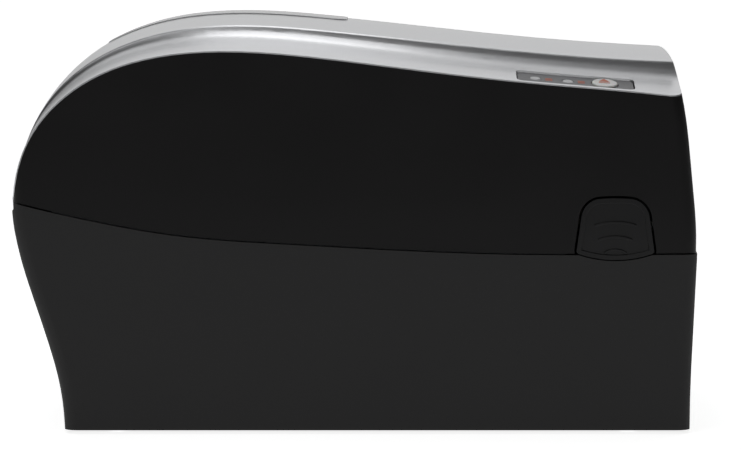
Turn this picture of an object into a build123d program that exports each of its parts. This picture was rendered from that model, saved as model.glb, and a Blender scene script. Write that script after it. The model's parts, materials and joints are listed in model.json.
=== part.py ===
from build123d import *
import os
from math import acos, atan2, cos, degrees, hypot, pi, radians, sin, sqrt, tan

# Desktop receipt and label printer with a clamshell lid. Millimetres.
# Origin: middle of the footprint on the table. +X is the paper-exit front, +Y the printer's left side, +Z up.

# ---- driving dimensions of the casing ----
LENGTH = 285.0
WIDTH = 226.0
FRONT_BULGE = 3.0            # how far the middle of the front stands ahead of its sides
REAR_BULGE = 2.0
CORNER = 6.0                 # radius of the four upright corners
WALL = 2.6
LID_INSET = 0.5              # the lid stands this much inside the lower case
LID_WALL = 2.2
SEAM_GAP = 0.3               # half of the dark gap between lid and lower case
FOOT_HEIGHT = 1.5
COVER_THICKNESS = 2.4
COVER_CLEARANCE = 0.22
WINDOW_CLEARANCE = 0.12

# ---- lid hinge ----
HINGE_X, HINGE_Z = -138.3, 95.4
BARREL_R = 4.2
BARREL_HALF_WIDTH = 109.0
HINGE_RELIEF = 0.5
HINGE_PIN_R = 1.5
KNUCKLE_Y = (70.0, 80.0)
RUNNING = 0.06               # radial clearance of a shaft in its bore

# ---- paper roll and its guides ----
ROLL_X, ROLL_Z = -50.0, 92.0
CRADLE_R = 67.0
BAY_HALF_WIDTH = 62.0
TRAY_WALL = 2.0
GUIDE_Y = 42.0               # inner face of a roll guide at rest
GUIDE_THICKNESS = 3.0
RACK_MODULE = 1.0
GUIDE_PINION_TEETH = 12
RACK_LOW, RACK_HIGH = 18.0, 22.0

# ---- platen and its gear train ----
PLATEN_X, PLATEN_Z = 118.0, 70.0
PLATEN_R = 8.0
PLATEN_HALF = 58.0
SHAFT_R = 3.0
GEAR_MODULE = 0.8
PLATEN_TEETH, IDLER_SMALL, IDLER_BIG, MOTOR_TEETH = 40, 16, 36, 16
IDLER_X, IDLER_Z = 99.0, 58.2
MOTOR_Z = 38.0
MOTOR_SIZE = 35.0
BIG_GEAR_Y = (69.5, 73.5)
SMALL_GEAR_Y = (74.5, 80.5)
PLATE_Y = (66.5, 68.1)
STUD_R = 2.5

# ---- release buttons, one on each side of the lid ----
BUTTON_X = 105.8
BUTTON_HALF_WIDTH = 16.0
BUTTON_LOW, BUTTON_TOP = 74.2, 95.6
BUTTON_GAP = 0.9             # around it in the lid
BUTTON_LOWER_GAP = 0.4       # around it in the lower case

# ---- control panel on the right-hand cove ----
PANEL_X = (66.1, 113.5)
PANEL_Y = (-108.0, -96.0)
PANEL_MIDDLE_Y = -102.0
PANEL_SINK = 0.8             # how far its face lies below the cover's
PANEL_DEPTH = 7.0            # scales its thickness with the cover's section
LENS_X = (74.3, 87.5)
LENS_R = 2.4
FEED_X = 102.5
FEED_R = 5.4

# ---- window strip along the middle of the top cover ----
WINDOW_X = (-106.0, -4.0)
WINDOW_HALF_WIDTH = 30.0
WINDOW_RAISE = 0.5

HALF_L, HALF_W = LENGTH / 2, WIDTH / 2
FAR = 200.0                  # larger than the printer, for cutting blocks


# ---------------------------------------------------------------- plain helpers
def block(x, y, z):
    """Box between three (low, high) pairs."""
    middle = ((x[0] + x[1]) / 2, (y[0] + y[1]) / 2, (z[0] + z[1]) / 2)
    return Pos(*middle) * Box(x[1] - x[0], y[1] - y[0], z[1] - z[0])


def rod_y(x, z, radius, y):
    """Cylinder along Y between y[0] and y[1]."""
    return Pos(x, (y[0] + y[1]) / 2, z) * Rot(90, 0, 0) * Cylinder(radius, y[1] - y[0])


def rod_z(x, y, radius, z):
    """Cylinder along Z between z[0] and z[1]."""
    return Pos(x, y, (z[0] + z[1]) / 2) * Cylinder(radius, z[1] - z[0])


def rod_x(y, z, radius, x):
    """Cylinder along X between x[0] and x[1]."""
    return Pos((x[0] + x[1]) / 2, y, z) * Rot(0, 90, 0) * Cylinder(radius, x[1] - x[0])


def side_prism(face, y):
    """A face drawn in X and Z, extruded from y[0] to y[1]."""
    return Pos(0, y[1], 0) * extrude(Plane.XZ * face, y[1] - y[0])


def mirrored(solid):
    """The same solid on the other side of the printer's middle plane."""
    return mirror(solid, about=Plane.XZ)


def both_sides(solid):
    return solid + mirrored(solid)


def group(solids):
    """Separate solids kept together in one node."""
    return Compound(children=[s for part in solids for s in part.solids()])


def save(name, part):
    export_step(part, os.path.join("parts", name + ".step"))


# ---------------------------------------------------------------- casing surfaces
# Height, rear reach, front reach and half width of the casing, from below the feet to above the lid.
LEVELS = ((-20, 120.2, 139.6, 111.3), (-6, 120.8, 139.6, 111.5), (8, 121.6, 139.7, 111.9),
          (22, 123.7, 140.0, 112.2), (36, 127.5, 140.6, 112.5), (50, 132.0, 141.2, 112.8),
          (64, 136.6, 141.9, 112.9), (78, 140.3, 142.4, 113.0), (92, 142.3, 141.8, 112.9),
          (106, 142.5, 140.5, 112.5), (120, 142.5, 139.2, 111.9), (134, 142.5, 137.3, 111.2),
          (148, 142.5, 134.2, 110.4), (162, 142.5, 129.4, 109.7), (176, 142.5, 122.6, 108.9))


def plan_outline(z, rear, front, half_width, inset, open_rear):
    """Plan of the casing at one height: bowed front and rear, straight sides, round corners."""
    radius = max(CORNER - inset, 4)
    rear, front, w = rear - inset, front - inset, half_width - inset
    shrink = ((w - radius) / w) ** 2
    x0, x1 = -rear + REAR_BULGE * shrink, front - FRONT_BULGE * shrink
    y = w - radius
    knee = radius * (1 - sin(pi / 4))
    edges = [ThreePointArc((x1, -y, z), (front, 0, z), (x1, y, z)),
             ThreePointArc((x1, y, z), (x1 - knee, w - knee, z), (x1 - radius, w, z)),
             Line((x1 - radius, w, z), (x0 + radius, w, z)),
             ThreePointArc((x0 + radius, w, z), (x0 + knee, w - knee, z), (x0, y, z))]
    if open_rear:
        behind = -165
        edges += [Line((x0, y, z), (behind, y, z)), Line((behind, y, z), (behind, -y, z)),
                  Line((behind, -y, z), (x0, -y, z))]
    else:
        edges += [ThreePointArc((x0, y, z), (-rear, 0, z), (x0, -y, z))]
    edges += [ThreePointArc((x0, -y, z), (x0 + knee, knee - w, z), (x0 + radius, -w, z)),
              Line((x0 + radius, -w, z), (x1 - radius, -w, z)),
              ThreePointArc((x1 - radius, -w, z), (x1 - knee, knee - w, z), (x1, -y, z))]
    return Face(Wire([edge.edges()[0] for edge in edges]))


def blank(inset, open_rear=False):
    """The casing's full outer form, set in by a distance, before it is split."""
    return loft([plan_outline(z, rear, front, w, inset, open_rear) for z, rear, front, w in LEVELS])


def seam_side(shift, above):
    """The space above, or below, the curved seam, moved up by shift."""
    line_points = ((-160, 101.5), (-HALF_L, 95.8), (-110, 88), (-76.8, 82), (-30, 78.1), (10.7, 75.9), (60, 74),
                   (100, 73.7), (160, 74.1))
    seam = Spline(*[(x, z + shift) for x, z in line_points])
    end = 300 if above else -40
    start, stop = seam @ 0, seam @ 1
    outline = make_face([seam, Line(stop, (160, end)), Line((160, end), (-160, end)), Line((-160, end), start)])
    return side_prism(outline, (-FAR, FAR))


# ---------------------------------------------------------------- the swept top cover
# The ridge line runs up the rear and forward to the front. At each station along it the cover's section
# hangs from the ridge by a drop, so that the cove on each side deepens from nothing at the rear.
RIDGE = Spline((-141.3, 93.5), (-139.3, 106.5), (-132.0, 127.5), (-120.9, 142.3), (-105.2, 154.1), (-83, 162.7),
               (-50, 166.6), (-10, 164.2), (30, 160), (70, 155.8), (105, 153.1), (152, 150.4))
STATIONS = ((0.0, 0.6), (0.035, 0.8), (0.09, 2.0), (0.15, 4.6), (0.21, 7.0), (0.28, 9.2), (0.37, 10.9),
            (0.50, 11.8), (0.64, 12.7), (0.78, 12.9), (0.90, 13.6), (1.0, 14.8))
NOMINAL_DROP = 12.5
SECTION_HALF = 118.0         # half width of the section before the sides trim it
COVE_START = 97.0            # where the shallow part of the cove begins to climb


def crown_height(fraction):
    return 1.1 + 2.9 * min(1, fraction / 0.25)


def drop_at(fraction):
    """Cove drop between the stations."""
    for (f0, d0), (f1, d1) in zip(STATIONS, STATIONS[1:]):
        if fraction <= f1:
            return d0 + (d1 - d0) * (fraction - f0) / (f1 - f0)
    return STATIONS[-1][1]


def station_plane(fraction, drop):
    """Section plane square to the ridge: local x is +Y, local y is outward from the cover."""
    ridge, along = RIDGE @ fraction, RIDGE % fraction
    outward = Vector(-along.Y, 0, along.X)
    origin = Vector(ridge.X, 0, ridge.Y) - outward * drop
    return Plane(origin=origin, x_dir=(0, 1, 0), z_dir=Vector(0, 1, 0).cross(outward))


def line(a, b):
    return Edge.make_line(Vector(*a), Vector(*b))


def bend(*points):
    return Edge.make_bezier(*[Vector(*p) for p in points])


def flipped(points):
    return [(-x, y) for x, y in reversed(points)]


def outer_outline(drop, crown, lift):
    """Outer skin of a section, from its left end over the two ridges to its right end."""
    k = drop / NOMINAL_DROP
    shallow = ((SECTION_HALF, -1.2 * k + lift), (COVE_START, 4.6 * k + lift))
    climb = (shallow[1], (90.5 + 0.4 * lift, 6.4 * k + 0.7 * lift), (87.6 + 0.8 * lift, 8.2 * k + 0.5 * lift),
             (86.6 + lift, 0.9 * drop + 0.4 * lift))
    ridge = (climb[3], (86.4 + lift, drop + lift), (84.6, drop + 0.1 + lift))
    crest = ((84.6, drop + 0.1 + lift), (0, drop + crown + lift), (-84.6, drop + 0.1 + lift))
    arc = Edge.make_three_point_arc(*[Vector(*p) for p in crest])
    return [line(*shallow), bend(*climb), bend(*ridge), arc, bend(*flipped(ridge)), bend(*flipped(climb)),
            line(*flipped(shallow))]


def inner_outline(drop, crown, depth):
    """Underside of a section, from its right end back to its left end. The edge thins towards the sides."""
    k = drop / NOMINAL_DROP
    shallow = ((SECTION_HALF, -1.2 * k - 0.16 * depth), (100, 3.77 * k - 0.3 * depth))
    climb = (shallow[1], (86, 4.9 * k - 0.5 * depth), (84, drop - depth))
    crest = ((84, drop - depth), (0, drop + crown - depth), (-84, drop - depth))
    arc = Edge.make_three_point_arc(*[Vector(*p) for p in reversed(crest)])
    return [line(*reversed(flipped(shallow))), bend(*reversed(flipped(climb))), arc, bend(*reversed(climb)),
            line(*reversed(shallow))]


def swept(section):
    """Loft a section function over all the stations."""
    return loft([station_plane(f, d) * Face(Wire(section(d, crown_height(f)))) for f, d in STATIONS])


def cover_band(lift, depth):
    """The cover's skin, raised by lift, with its underside at depth below the true outer skin."""
    def section(drop, crown):
        outer, inner = outer_outline(drop, crown, lift), inner_outline(drop, crown, depth)
        return outer + [line(outer[-1] @ 1, inner[0] @ 0)] + inner + [line(inner[-1] @ 1, outer[0] @ 0)]
    return swept(section)


def above_cover(depth):
    """All the space above the cover's underside, as a cutting block."""
    def section(drop, crown):
        inner = inner_outline(drop, crown, depth)
        right, left = inner[0] @ 0, inner[-1] @ 1
        high = 60
        return inner + [line(left, (left.X, high)), line((left.X, high), (right.X, high)),
                        line((right.X, high), right)]
    return swept(section)


def under_strip(near, far, half_width):
    """A strip that follows the underside of the cover between two depths, in the flat middle only."""
    def section(drop, crown):
        base = drop + 0.1
        rise = crown * (1 - (half_width / 84.6) ** 2)
        top = [Vector(half_width, base + crown - rise - near), Vector(0, base + crown - near),
               Vector(-half_width, base + crown - rise - near)]
        low = [Vector(-half_width, base + crown - rise - far), Vector(0, base + crown - far),
               Vector(half_width, base + crown - rise - far)]
        return [Edge.make_three_point_arc(*top), line(top[2], low[0]), Edge.make_three_point_arc(*low),
                line(low[2], top[0])]
    return swept(section)


def cove_plane(x, y, depth=0.0):
    """Frame on the shallow part of the cove: z out of the cover, x along it towards the front."""
    low, high = 0.0, 1.0
    for _ in range(30):
        middle = (low + high) / 2
        low, high = (middle, high) if (RIDGE @ middle).X < x else (low, middle)
    drop = drop_at(low)
    k = drop / NOMINAL_DROP
    plane = station_plane(low, drop)
    slope = 5.8 * k / (SECTION_HALF - COVE_START)
    height = 4.6 * k - slope * (abs(y) - COVE_START)
    side = 1 if y > 0 else -1
    normal = (plane.y_dir + plane.x_dir * slope * side).normalized()
    point = plane.origin + plane.x_dir * y + plane.y_dir * height - normal * depth
    return Plane(origin=point, x_dir=normal.cross(Vector(0, -1, 0)), z_dir=normal)


def plan_prism(x, y, grow, corner=2.0):
    """Upright prism with rounded corners, through the whole height of the lid."""
    width, depth = x[1] - x[0] + 2 * grow, y[1] - y[0] + 2 * grow
    face = Pos((x[0] + x[1]) / 2, (y[0] + y[1]) / 2, 60) * RectangleRounded(width, depth, corner + grow)
    return extrude(face, 140)


# ---------------------------------------------------------------- gears
def gear_face(module, teeth, phase):
    """Involute gear outline with stub teeth and a little backlash; a tooth is centred at the phase angle."""
    pitch_r = module * teeth / 2
    base_r = pitch_r * cos(radians(20))
    tip_r, root_r = pitch_r + 0.8 * module, pitch_r - 1.15 * module
    half_pitch_angle = pi / (2 * teeth) - 0.07 * module / pitch_r
    involute_at_pitch = tan(radians(20)) - radians(20)

    def half_angle(radius):
        pressure = acos(min(1, base_r / radius))
        return half_pitch_angle + involute_at_pitch - (tan(pressure) - pressure)

    start = max(base_r, root_r)
    radii = [root_r] + [start + (tip_r - start) * i / 3 for i in range(4)]
    flank = [(r, half_angle(r)) for r in radii]
    points = []
    for tooth in range(teeth):
        centre = radians(phase) + 2 * pi * tooth / teeth
        points += [(r * cos(centre - a), r * sin(centre - a)) for r, a in flank]
        points += [(r * cos(centre + a), r * sin(centre + a)) for r, a in reversed(flank)]
    shortest = 1e-4
    distinct = [(x, y) for i, (x, y) in enumerate(points)
                if hypot(x - points[i - 1][0], y - points[i - 1][1]) > shortest]
    return make_face(Polyline(*distinct, close=True).edges())


def gear_y(x, z, teeth, phase, y, bore):
    """Spur gear with its axis along Y."""
    return side_prism(Pos(x, z) * (gear_face(GEAR_MODULE, teeth, phase) - Circle(bore)), y)


def centre_angle(x0, z0, x1, z1):
    return degrees(atan2(z1 - z0, x1 - x0))


MOTOR_X = IDLER_X - sqrt((GEAR_MODULE * (MOTOR_TEETH + IDLER_BIG) / 2) ** 2 - (IDLER_Z - MOTOR_Z) ** 2)


def rack(length_y):
    """Rack bar beside the guide pinion, teeth facing the pinion, with a gap centred at y = 0."""
    pitch = pi * RACK_MODULE
    pitch_x = RACK_MODULE * GUIDE_PINION_TEETH / 2
    tip, root = pitch_x - 0.65 * RACK_MODULE, pitch_x + 1.15 * RACK_MODULE
    half_tip = pitch / 4 - 0.07 - 0.65 * tan(radians(20))
    half_root = pitch / 4 - 0.07 + 1.15 * tan(radians(20))
    bar = block((ROLL_X + root, ROLL_X + root + 4), length_y, (RACK_LOW, RACK_HIGH))
    first, last = int((length_y[0] + half_root) / pitch - 0.5), int((length_y[1] - half_root) / pitch - 0.5)
    for number in range(first, last + 1):
        y = (number + 0.5) * pitch
        tooth = Polyline((root + 0.2, y - half_root), (tip, y - half_tip), (tip, y + half_tip),
                         (root + 0.2, y + half_root), close=True)
        bar += Pos(ROLL_X, 0, RACK_LOW) * extrude(make_face(tooth.edges()), RACK_HIGH - RACK_LOW)
    return bar


# ---------------------------------------------------------------- lower case
def hinge_relief(radius, half_width):
    return rod_y(HINGE_X, HINGE_Z, radius, (-half_width, half_width))


def button_outline(grow=0.0):
    """Side outline of a release button: bowed lower edge, nearly upright sides, rounded top corners."""
    w, lean = BUTTON_HALF_WIDTH, 3.0
    low_left, low_right = (BUTTON_X - w, BUTTON_LOW), (BUTTON_X + w, BUTTON_LOW)
    top_left, top_right = (BUTTON_X - w + lean, BUTTON_TOP), (BUTTON_X + w - lean, BUTTON_TOP)
    crest, belly = (BUTTON_X, BUTTON_TOP + 1.1), (BUTTON_X, BUTTON_LOW - 2.8)
    face = make_face([Line(low_left, top_left), ThreePointArc(top_left, crest, top_right),
                      Line(top_right, low_right), ThreePointArc(low_right, belly, low_left)])
    middle = (BUTTON_LOW + BUTTON_TOP) / 2
    face = fillet([v for v in face.vertices() if v.Y > middle], 8.5)
    face = fillet([v for v in face.vertices() if v.Y < BUTTON_LOW + 1], 1.5)
    return offset(face, grow) if grow else face


WELL_X = -116.0              # face of the recessed rear connector plate
WELL_Y, WELL_Z = (-70.0, 70.0), (11.0, 43.0)
BOSS_PLACES = [(x, s * 101.0) for x in (-98.0, 112.0) for s in (-1, 1)]


def base_shell():
    ring = (blank(0) - blank(WALL)) & seam_side(-SEAM_GAP, above=False)
    shell = ring & block((-FAR, FAR), (-FAR, FAR), (FOOT_HEIGHT, 120))
    well = block((-150, WELL_X + 2), (WELL_Y[0] - 2, WELL_Y[1] + 2), (WELL_Z[0] - 2, WELL_Z[1] + 2))
    shell += well & blank(0)
    shell -= block((-160, WELL_X + 3), WELL_Y, WELL_Z)
    for x, y in BOSS_PLACES:
        wall = 109.5 if y > 0 else -109.5
        shell += rod_z(x, y, 4.5, (4.2, 30))
        shell += block((x - 1.5, x + 1.5), sorted((y, wall)), (6, 28))
        shell -= rod_z(x, y, 1.6, (0, 24))
    shell -= hinge_relief(BARREL_R + HINGE_RELIEF, BARREL_HALF_WIDTH + 0.5)
    shell -= block((-160, HINGE_X), (-110.6, 110.6), (91.9, 110))
    return shell - both_sides(side_prism(button_outline(BUTTON_LOWER_GAP), (100, 130)))


def base_plate():
    """Underside plate with vents, closing the lower case."""
    plate = blank(WALL + 0.3) & block((-FAR, FAR), (-FAR, FAR), (FOOT_HEIGHT, FOOT_HEIGHT + 2.2))
    slot = Rot(0, 0, 90) * SlotOverall(34, 3)
    vents = [Pos(x, y, 0) * slot for x in range(-84, 60, 9) for y in (-48, 0, 48)]
    plate -= extrude(Sketch() + vents, 10)
    for x, y in BOSS_PLACES:
        plate -= rod_z(x, y, 1.8, (0, 10))
        plate -= rod_z(x, y, 3.4, (0, FOOT_HEIGHT + 1.3))
    for x, y in STANDOFFS:
        plate += rod_z(x, y, 3, (FOOT_HEIGHT + 2, BOARD_Z))
    return plate


def foot(x, y):
    """Rubber pad with a rounded lower edge."""
    pad = rod_z(x, y, 8, (0, FOOT_HEIGHT))
    return fillet(pad.edges().group_by(Axis.Z)[0], 0.6)


def screw(x, y, head_z, length, head_r=2.9):
    """Pan-head screw with its head below its shank and a cross recess in the head."""
    body = rod_z(0, 0, head_r, (0, 1.0)) + rod_z(0, 0, 1.4, (0.5, length))
    for turn in (0, 90):
        body -= Rot(0, 0, turn) * Box(3.0, 0.7, 1.2)
    return Pos(x, y, head_z) * body


# ---------------------------------------------------------------- inner tray
DECK_TOP, DECK_LOW = -3.3, -5.7     # below the seam
TROUGH_X, TROUGH_HALF, TROUGH_Z = (104.0, 130.0), 60.5, 58.0
SENSOR_X, SENSOR_Z = 86.0, 62.0
HOOK_SLOT_X, HOOK_SLOT_Y = (98.0, 122.0), (93.5, 105.2)


def chassis_tray():
    inside = blank(WALL + 0.4)
    below_deck = seam_side(DECK_TOP, above=False)
    deck = inside & below_deck & seam_side(DECK_LOW, above=True)
    bay = (-BAY_HALF_WIDTH, BAY_HALF_WIDTH)
    bay_out = (bay[0] - TRAY_WALL, bay[1] + TRAY_WALL)
    tray = deck + (rod_y(ROLL_X, ROLL_Z, CRADLE_R + TRAY_WALL, bay_out) & below_deck)
    end = TROUGH_HALF + 2.5
    trough_out = block((TROUGH_X[0] - 2, TROUGH_X[1] + 2), (-end, end), (TROUGH_Z - 2, 90))
    tray += trough_out & below_deck & inside
    tray += (block((SENSOR_X - 5, SENSOR_X + 5), (-65.5, -61.5), (57.5, 90)) & below_deck)
    tray += (block((SENSOR_X - 5, SENSOR_X + 5), (61.5, 65.5), (57.5, 90)) & below_deck)
    tray -= rod_y(ROLL_X, ROLL_Z, CRADLE_R, bay)
    tray -= block(TROUGH_X, (-TROUGH_HALF, TROUGH_HALF), (TROUGH_Z, 90))
    tray -= block((98, 135.5), (PLATE_Y[0] - 0.4, SMALL_GEAR_Y[1] + 1.5), (56, 90))
    tray -= block((82, 98.5), (PLATE_Y[0] - 0.4, BIG_GEAR_Y[1] + 1.0), (56, 90))
    tray -= block((SENSOR_X - 3, SENSOR_X + 3), (-57.5, 57.5), (64, 90))
    tray -= rod_y(SENSOR_X, SENSOR_Z, 2, (-66, 66))
    tray -= rod_y(PLATEN_X, PLATEN_Z, 5, (-70, 70))
    tray -= block((PLATEN_X - 5, PLATEN_X + 5), (-70, 70), (PLATEN_Z, 90))
    tray -= block((ROLL_X - 4.5, ROLL_X + 4.5), (22, 61), (10, 40))
    tray -= block((ROLL_X - 4.5, ROLL_X + 4.5), (-61, -22), (10, 40))
    tray -= both_sides(block(HOOK_SLOT_X, HOOK_SLOT_Y, (60, 90)))
    tray -= hinge_relief(BARREL_R + HINGE_RELIEF, BARREL_HALF_WIDTH + 1)
    rim = (blank(WALL + 0.6) - blank(WALL + 2.0)) & seam_side(DECK_TOP - 0.5, above=True)
    rim &= seam_side(2.4, above=False)
    tray += rim & block((-124, 86), (-FAR, FAR), (0, 120))
    tray += rim & (block((125, 150), (64, 98), (0, 120)) + block((125, 150), (-98, -64), (0, 120)))
    for s in (-1, 1):
        tray += knuckle(s)
    return tray


def knuckle(side):
    """Fixed hinge knuckle with a web down to the deck."""
    y = sorted((side * KNUCKLE_Y[0], side * KNUCKLE_Y[1]))
    web = block((HINGE_X + 0.6, HINGE_X + 3.6), y, (86.5, HINGE_Z))
    web += block((HINGE_X + 0.6, HINGE_X + 9), y, (86.5, 89.6))
    body = rod_y(HINGE_X, HINGE_Z, 3.7, y) + web
    return body - rod_y(HINGE_X, HINGE_Z, HINGE_PIN_R, (y[0] - 1, y[1] + 1))


def front_bezel():
    """Lower lip of the paper exit, standing on the front of the lower case."""
    lip = blank(LID_INSET + 0.2) & block((131.5, 150), (-60, 60), (74.3, 78.6))
    lip -= blank(WALL + 5.2) & block((100, 134), (-57.5, 57.5), (70, 76.4))
    tongue = block((132.5, 136.0), (-56, 56), (70.6, 74.5)) & blank(WALL + 0.8)
    return lip + tongue


def tear_bar():
    """Serrated steel strip on the upper lip."""
    teeth = 56
    pitch = 112.0 / teeth
    outline = [(-56, -1.2), (-56, 1.0)]
    for number in range(teeth):
        outline.append((-56 + pitch * (number + 0.5), 2.2))
        outline.append((-56 + pitch * (number + 1), 1.0))
    outline.append((56, -1.2))
    face = make_face(Polyline(*outline, close=True).edges())
    strip = Plane(origin=(130.9, 0, 77.9), x_dir=(0, 1, 0), z_dir=(-1, 0, 0)) * face
    return extrude(strip, 0.5, both=True)


# ---------------------------------------------------------------- platen and drive
def platen_shaft():
    shaft = rod_y(PLATEN_X, PLATEN_Z, SHAFT_R, (-66, 82))
    flat = block((PLATEN_X - 5, PLATEN_X + 5), (SMALL_GEAR_Y[0], 83), (PLATEN_Z + 2.4, PLATEN_Z + 5))
    return shaft - flat


def platen_rubber():
    sleeve = rod_y(PLATEN_X, PLATEN_Z, PLATEN_R, (-PLATEN_HALF, PLATEN_HALF))
    sleeve = chamfer(sleeve.edges(), 0.5)
    return sleeve - rod_y(PLATEN_X, PLATEN_Z, SHAFT_R, (-90, 90))


def platen_gear():
    phase = centre_angle(IDLER_X, IDLER_Z, PLATEN_X, PLATEN_Z) + 180 + 180 / PLATEN_TEETH
    wheel = gear_y(PLATEN_X, PLATEN_Z, PLATEN_TEETH, phase, SMALL_GEAR_Y, SHAFT_R)
    web = rod_y(PLATEN_X, PLATEN_Z, 12.5, (SMALL_GEAR_Y[0] - 1, SMALL_GEAR_Y[0] + 1.6))
    web -= rod_y(PLATEN_X, PLATEN_Z, 6, (60, 90))
    flat = block((PLATEN_X - 3, PLATEN_X + 3), SMALL_GEAR_Y, (PLATEN_Z + 2.4, PLATEN_Z + 3.4))
    return wheel - web + (flat & rod_y(PLATEN_X, PLATEN_Z, SHAFT_R + 0.5, SMALL_GEAR_Y))


def platen_bush(side):
    """Flanged bush in the trough's end wall."""
    wall = sorted((side * TROUGH_HALF, side * (TROUGH_HALF + 2.5)))
    flange = sorted((side * (TROUGH_HALF - 1.2), side * TROUGH_HALF))
    body = rod_y(PLATEN_X, PLATEN_Z, 5, wall) + rod_y(PLATEN_X, PLATEN_Z, 6.5, flange)
    return body - rod_y(PLATEN_X, PLATEN_Z, SHAFT_R + RUNNING, (-70, 70))


def idler_gear():
    to_motor = centre_angle(IDLER_X, IDLER_Z, MOTOR_X, MOTOR_Z)
    to_platen = centre_angle(IDLER_X, IDLER_Z, PLATEN_X, PLATEN_Z)
    bore = STUD_R + RUNNING
    big = gear_y(IDLER_X, IDLER_Z, IDLER_BIG, to_motor, BIG_GEAR_Y, bore)
    small = gear_y(IDLER_X, IDLER_Z, IDLER_SMALL, to_platen, (BIG_GEAR_Y[1] - 0.2, SMALL_GEAR_Y[1]), bore)
    for number in range(5):
        angle = radians(72 * number)
        big -= rod_y(IDLER_X + 10 * cos(angle), IDLER_Z + 10 * sin(angle), 1.8, (60, 90))
    return big + small


def motor_pinion():
    phase = centre_angle(IDLER_X, IDLER_Z, MOTOR_X, MOTOR_Z) + 180 + 180 / MOTOR_TEETH
    wheel = gear_y(MOTOR_X, MOTOR_Z, MOTOR_TEETH, phase, BIG_GEAR_Y, 0.5)
    return wheel + rod_y(MOTOR_X, MOTOR_Z, STUD_R, (41, 75.5))


def drive_motor():
    """Square stepping motor with chamfered corners, end caps and a round pilot."""
    half = MOTOR_SIZE / 2
    body = block((MOTOR_X - half, MOTOR_X + half), (38.5, 66.5), (MOTOR_Z - half, MOTOR_Z + half))
    body = chamfer(body.edges().filter_by(Axis.Y), 4)
    band = body & block((0, FAR), (46, 59), (0, FAR))
    core = Pos(MOTOR_X, 52.5, MOTOR_Z) * Box(MOTOR_SIZE - 1.6, 13, MOTOR_SIZE - 1.6)
    body = body - (band - core)
    body += rod_y(MOTOR_X, MOTOR_Z, 8, (66, 68))
    return body - rod_y(MOTOR_X, MOTOR_Z, STUD_R + RUNNING, (40.5, 70))


MOTOR_SCREWS = [(MOTOR_X + sx * 13, MOTOR_Z + sz * 13) for sx in (-1, 1) for sz in (-1, 1)]


def gear_plate():
    """Pressed steel plate that carries the motor and the idler stud."""
    outline = Polyline((77, 20), (112, 20), (129, 58), (129, 77), (108, 77), (98.5, 66), (77, 66), close=True)
    face = make_face(outline.edges())
    face = fillet(face.vertices(), 4)
    face -= Pos(MOTOR_X, MOTOR_Z) * Circle(8.05)
    face -= Pos(PLATEN_X, PLATEN_Z) * Circle(5.5)
    face -= Pos(IDLER_X, IDLER_Z) * Circle(1.8)
    for x, z in MOTOR_SCREWS:
        face -= Pos(x, z) * Circle(1.5)
    return side_prism(face, PLATE_Y)


def y_screw(x, z, y, length, head_r=2.6):
    """Pan-head screw driven towards -Y."""
    body = rod_y(x, z, head_r, (y, y + 1.0)) + rod_y(x, z, 1.4, (y - length, y + 0.5))
    return body - block((x - 0.4, x + 0.4), (y + 0.5, y + 3), (z - 1.9, z + 1.9))


# ---------------------------------------------------------------- roll guides
def roll_guide():
    """Left-hand guide: face plate with a hub boss, neck through the cradle floor, and a rack bar."""
    y = (GUIDE_Y, GUIDE_Y + GUIDE_THICKNESS)
    plate = rod_y(ROLL_X, ROLL_Z, 44, y)
    for angle in range(30, 360, 60):
        a = radians(angle)
        plate -= rod_y(ROLL_X + 30 * cos(a), ROLL_Z + 30 * sin(a), 8, (30, 60))
    rim = rod_y(ROLL_X, ROLL_Z, 44, (y[1] - 0.2, y[1] + 1.5)) - rod_y(ROLL_X, ROLL_Z, 41.5, (30, 60))
    neck = block((ROLL_X - 15, ROLL_X + 15), y, (31, 56)) + block((ROLL_X - 4, ROLL_X + 4), y, (RACK_LOW, 32))
    neck = neck - rod_y(ROLL_X, ROLL_Z, 43, (30, 60))
    ribs = block((ROLL_X - 14, ROLL_X - 12), (y[1] - 0.2, y[1] + 2), (31, 50))
    ribs += block((ROLL_X + 12, ROLL_X + 14), (y[1] - 0.2, y[1] + 2), (31, 50))
    boss = rod_y(ROLL_X, ROLL_Z, 6, (y[0] - 13, y[0] + 1)) - rod_y(ROLL_X, ROLL_Z, 4, (y[0] - 14, y[0] - 1))
    arm = block((ROLL_X - 4, ROLL_X + 11.1), (y[0], y[0] + 6), (RACK_LOW, RACK_HIGH))
    return plate + rim + neck + ribs + boss + rack((-24, GUIDE_Y + 6)) + arm


def roll_hub():
    """Stepped core hub that spins on the guide's boss."""
    y0 = GUIDE_Y - 0.4
    hub = rod_y(ROLL_X, ROLL_Z, 18.5, (y0 - 3, y0)) + rod_y(ROLL_X, ROLL_Z, 12.2, (y0 - 12, y0 - 2.5))
    hub = fillet(hub.edges().filter_by(GeomType.CIRCLE).group_by(Axis.Y)[0], 1.2)
    for number in range(6):
        a = radians(60 * number)
        hub -= rod_y(ROLL_X + 15.3 * cos(a), ROLL_Z + 15.3 * sin(a), 1.6, (0, 60))
    return hub - rod_y(ROLL_X, ROLL_Z, 6 + RUNNING, (0, 60))


def guide_pinion():
    face = Pos(ROLL_X, 0, RACK_LOW) * (gear_face(RACK_MODULE, GUIDE_PINION_TEETH, 0) - Circle(2 + RUNNING))
    return extrude(face, RACK_HIGH - RACK_LOW)


def guide_rail():
    """Moulded plate under the racks, with the pinion's stud and a lip beside each rack."""
    plate = block((ROLL_X - 16, ROLL_X + 16), (-66, 66), (RACK_LOW - 2.7, RACK_LOW - 0.3))
    for s in (-1, 1):
        x = sorted((ROLL_X + s * 12.0, ROLL_X + s * 14.5))
        plate += block(x, (-66, 66), (RACK_LOW - 0.5, RACK_HIGH - 0.5))
    plate += rod_z(ROLL_X, 0, 2, (RACK_LOW - 0.5, RACK_HIGH + 0.4))
    return plate


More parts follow.
